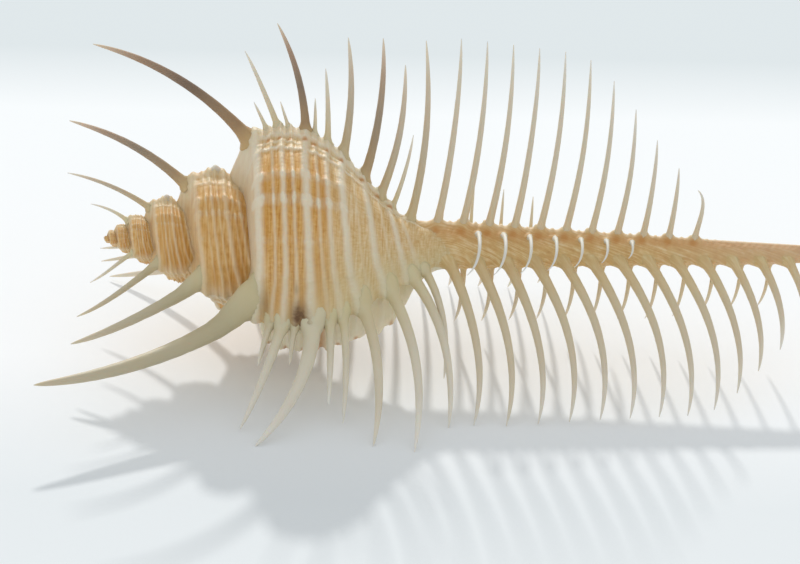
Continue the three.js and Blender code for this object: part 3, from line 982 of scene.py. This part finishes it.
def canal_colour(n, streaks):
    """Golden tan, orange below the upper spines, rosy towards the end, with a painted highlight in cream
    along the crest.
    """
    canal = n.ramp(streaks, [
        (0.36, srgb(196, 148, 82)), (0.50, srgb(214, 176, 114)), (0.62, srgb(232, 208, 162)),
    ])
    canal = n.tinted(canal, "band", 0.55, srgb(204, 144, 78))
    canal = n.tinted(canal, "rose", 0.75, srgb(210, 172, 138))
    # Cream along the crest is a painted highlight on the canal's top edge.
    return n.tinted(canal, "crest", 0.75, srgb(236, 220, 192))


def spine_colour(n, canal, clouds):
    """Cream or golden spines with pale tips; some of the upper ones are taupe."""
    along = n.attribute("tip")
    spine = n.ramp(along, [
        (0.0, srgb(216, 202, 158)), (0.15, srgb(214, 202, 166)), (0.40, srgb(216, 208, 186)),
        (0.72, srgb(222, 214, 198)), (1.0, srgb(236, 230, 220)),
    ])
    golden = n.ramp(along, [
        (0.0, srgb(214, 182, 118)), (0.10, srgb(212, 190, 142)), (0.35, srgb(208, 193, 160)),
        (0.72, srgb(210, 199, 178)), (1.0, srgb(230, 224, 214)),
    ])
    taupe = n.ramp(along, [
        (0.0, srgb(210, 176, 120)), (0.14, srgb(160, 128, 92)), (0.45, srgb(122, 100, 82)),
        (0.75, srgb(160, 132, 108)), (1.0, srgb(214, 196, 176)),
    ])
    spine = n.mix(n.attribute("gold"), spine, golden)
    spine = n.tinted(spine, "tone", 0.35, srgb(206, 188, 150))
    golden_root = n.math("MULTIPLY", n.attribute("near"), n.attribute("gold"))
    spine = n.mix(n.math("MULTIPLY", golden_root, 0.85), spine, canal)
    # Olive on the spines is partly painted shade, darker than their own cream.
    spine = n.tinted(spine, "olive_and_shade", 0.7, srgb(172, 160, 124))
    spine = n.mix(n.attribute("dark"), spine, taupe)
    spine = n.mix(n.attribute("white"), spine, srgb(232, 232, 226))
    cloudy = n.math("MULTIPLY", n.math("SUBTRACT", clouds, 0.35), 0.5)
    return n.mix(cloudy, spine, srgb(196, 174, 134))


def shell_material():
    """Ivory cords over golden orange, cream spines that turn greyish, and a pale inside."""
    material = bpy.data.materials.new("shell")
    n = Nodes(material)
    grain = n.attribute("grain", vector=True)
    clouds = n.noise(n.object_place(), 140.0)
    lines = n.noise(n.scaled(grain, (3.4, 0.16, 1.0)), 1.0)
    flecks = n.noise(n.scaled(grain, (0.9, 1.5, 1.0)), 1.2)
    streaks = n.math("ADD", n.math("MULTIPLY", lines, 0.58), n.math("MULTIPLY", flecks, 0.42))

    canal = canal_colour(n, streaks)
    colour = n.tinted(body_colour(n, streaks, flecks, clouds), "canal", 0.9, canal)
    root = n.mix(n.attribute("canal"), srgb(220, 206, 164), srgb(212, 182, 124))
    colour = n.tinted(colour, "root", 0.4, root)
    # Dark brown patches in the hollows near the last varix's spine roots.
    colour = n.tinted(colour, "dark_patch", n.math("ADD", flecks, 0.35), srgb(112, 78, 44))
    colour = n.tinted(colour, "flange", 0.85, srgb(238, 229, 204))
    colour = n.mix(n.attribute("spine"), colour, spine_colour(n, canal, clouds))
    colour = n.tinted(colour, "spot", 0.8, srgb(192, 126, 48))
    colour = n.mix(n.attribute("inside"), colour, srgb(240, 226, 202))
    n.link(colour, n.shader.inputs["Base Color"])

    fine = n.noise(n.scaled(grain, (7.0, 1.6, 1.0)), 1.2)
    rings = n.noise(n.scaled(grain, (0.5, 7.0, 1.6)), 1.0, detail=2.0)
    normal = n.bump(fine, 0.35, 0.12 * MM)
    normal = n.bump(rings, 0.30, 0.12 * MM, normal)
    n.link(normal, n.shader.inputs["Normal"])
    n.link(n.math("ADD", n.math("MULTIPLY", fine, 0.2), 0.44), n.shader.inputs["Roughness"])
    n.shader.inputs["Subsurface Weight"].default_value = 0.25
    n.shader.inputs["Subsurface Radius"].default_value = (1.0, 0.66, 0.4)
    n.shader.inputs["Subsurface Scale"].default_value = 1.8 * MM
    n.shader.inputs["IOR"].default_value = 1.5
    return material


def floor_material():
    """Pale and matt, with a painted pool of light: brighter behind and under the shell than in front of it
    and far off.
    """
    material = bpy.data.materials.new("pale_floor")
    n = Nodes(material)
    axes = n.tree.nodes.new("ShaderNodeSeparateXYZ")
    n.link(n.object_place(), axes.inputs[0])
    depth = n.math("ADD", n.math("MULTIPLY", axes.outputs["Y"], 3.0), 0.5)
    # The ramp paints a pool of light on the floor: bright behind and under the shell, darker in front and
    # far off.
    colour = n.ramp(depth, [
        (0.36, srgb(231, 234, 235)), (0.50, srgb(248, 248, 248)), (0.84, srgb(247, 248, 248)),
        (0.95, srgb(223, 228, 229)),
    ])
    n.link(colour, n.shader.inputs["Base Color"])
    n.shader.inputs["Roughness"].default_value = 0.8
    n.shader.inputs["Specular IOR Level"].default_value = 0.0
    return material


# ---- stage, light and camera -----------------------------------------
def add_floor():
    """A plain pale surface, whose material paints a pool of light behind the shell."""
    sides = (-FLOOR_HALF, FLOOR_HALF)
    points = [(x, y, 0.0) for y in sides for x in sides]
    mesh = bpy.data.meshes.new("floor")
    mesh.from_pydata(points, [], [(0, 1, 3, 2)])
    mesh.materials.append(floor_material())
    floor = bpy.data.objects.new("floor", mesh)
    bpy.context.scene.collection.objects.link(floor)


def add_lights():
    """A soft key from behind that throws the shadow forward, and a bright even fill."""
    data = bpy.data.lights.new("key", "SUN")
    data.energy = SUN_STRENGTH
    data.color = SUN_COLOUR
    data.angle = math.radians(SUN_WIDTH)
    key = bpy.data.objects.new("key", data)
    key.location = (-SUN_SLOPE[0], -SUN_SLOPE[1], 1.0)
    key.rotation_euler = (-key.location).to_track_quat("-Z", "Y").to_euler()
    bpy.context.scene.collection.objects.link(key)

    world = bpy.data.worlds.new("studio")
    world.use_nodes = True
    background = world.node_tree.nodes["Background"]
    background.inputs["Color"].default_value = SKY_COLOUR
    background.inputs["Strength"].default_value = SKY_STRENGTH
    bpy.context.scene.world = world


def add_camera():
    """A long lens above and in front of the shell, a little rolled."""
    forward = Vector((0, math.cos(CAMERA_ELEVATION), -math.sin(CAMERA_ELEVATION)))
    level = Vector((1, 0, 0))
    upright = level.cross(forward)
    right = level * math.cos(CAMERA_ROLL) + upright * math.sin(CAMERA_ROLL)
    up = -level * math.sin(CAMERA_ROLL) + upright * math.cos(CAMERA_ROLL)
    aim = Vector(ORIGIN) + Vector((CAMERA_AIM, 0, 0))
    place = aim - forward * CAMERA_DISTANCE - right * CAMERA_OFFSET[0] - up * CAMERA_OFFSET[1]
    data = bpy.data.cameras.new("camera")
    data.lens = CAMERA_LENS
    data.sensor_width = 36.0
    camera = bpy.data.objects.new("camera", data)
    bpy.context.scene.collection.objects.link(camera)
    turned = Matrix((right, up, -forward)).transposed().to_4x4()
    camera.matrix_world = Matrix.Translation(place) @ turned
    bpy.context.scene.camera = camera


# ---- the scene -------------------------------------------------------
add_camera()
SHELL = shell_material()
SPINES = all_spines()
ROOTS = [spine_root(spine, number) for number, spine in enumerate(SPINES)]
whorl_strip("spire", np.linspace(FIRST_TURN, -1.0, 940), np.linspace(23.3, 44, 72), ROOTS, SHELL)
whorl_strip("back_whorl", np.linspace(-1.0, -0.45, 220), np.linspace(23.4, 62, 200), ROOTS, SHELL)
lip_sheet(ROOTS, SHELL)
canal_piece(ROOTS, SHELL)
HALF = len(SPINES) // 2
spine_piece("spines_a", SPINES[:HALF], SHELL)
spine_piece("spines_b", SPINES[HALF:], SHELL, HALF)
add_floor()
add_lights()
bpy.context.scene.view_settings.view_transform = "Standard"
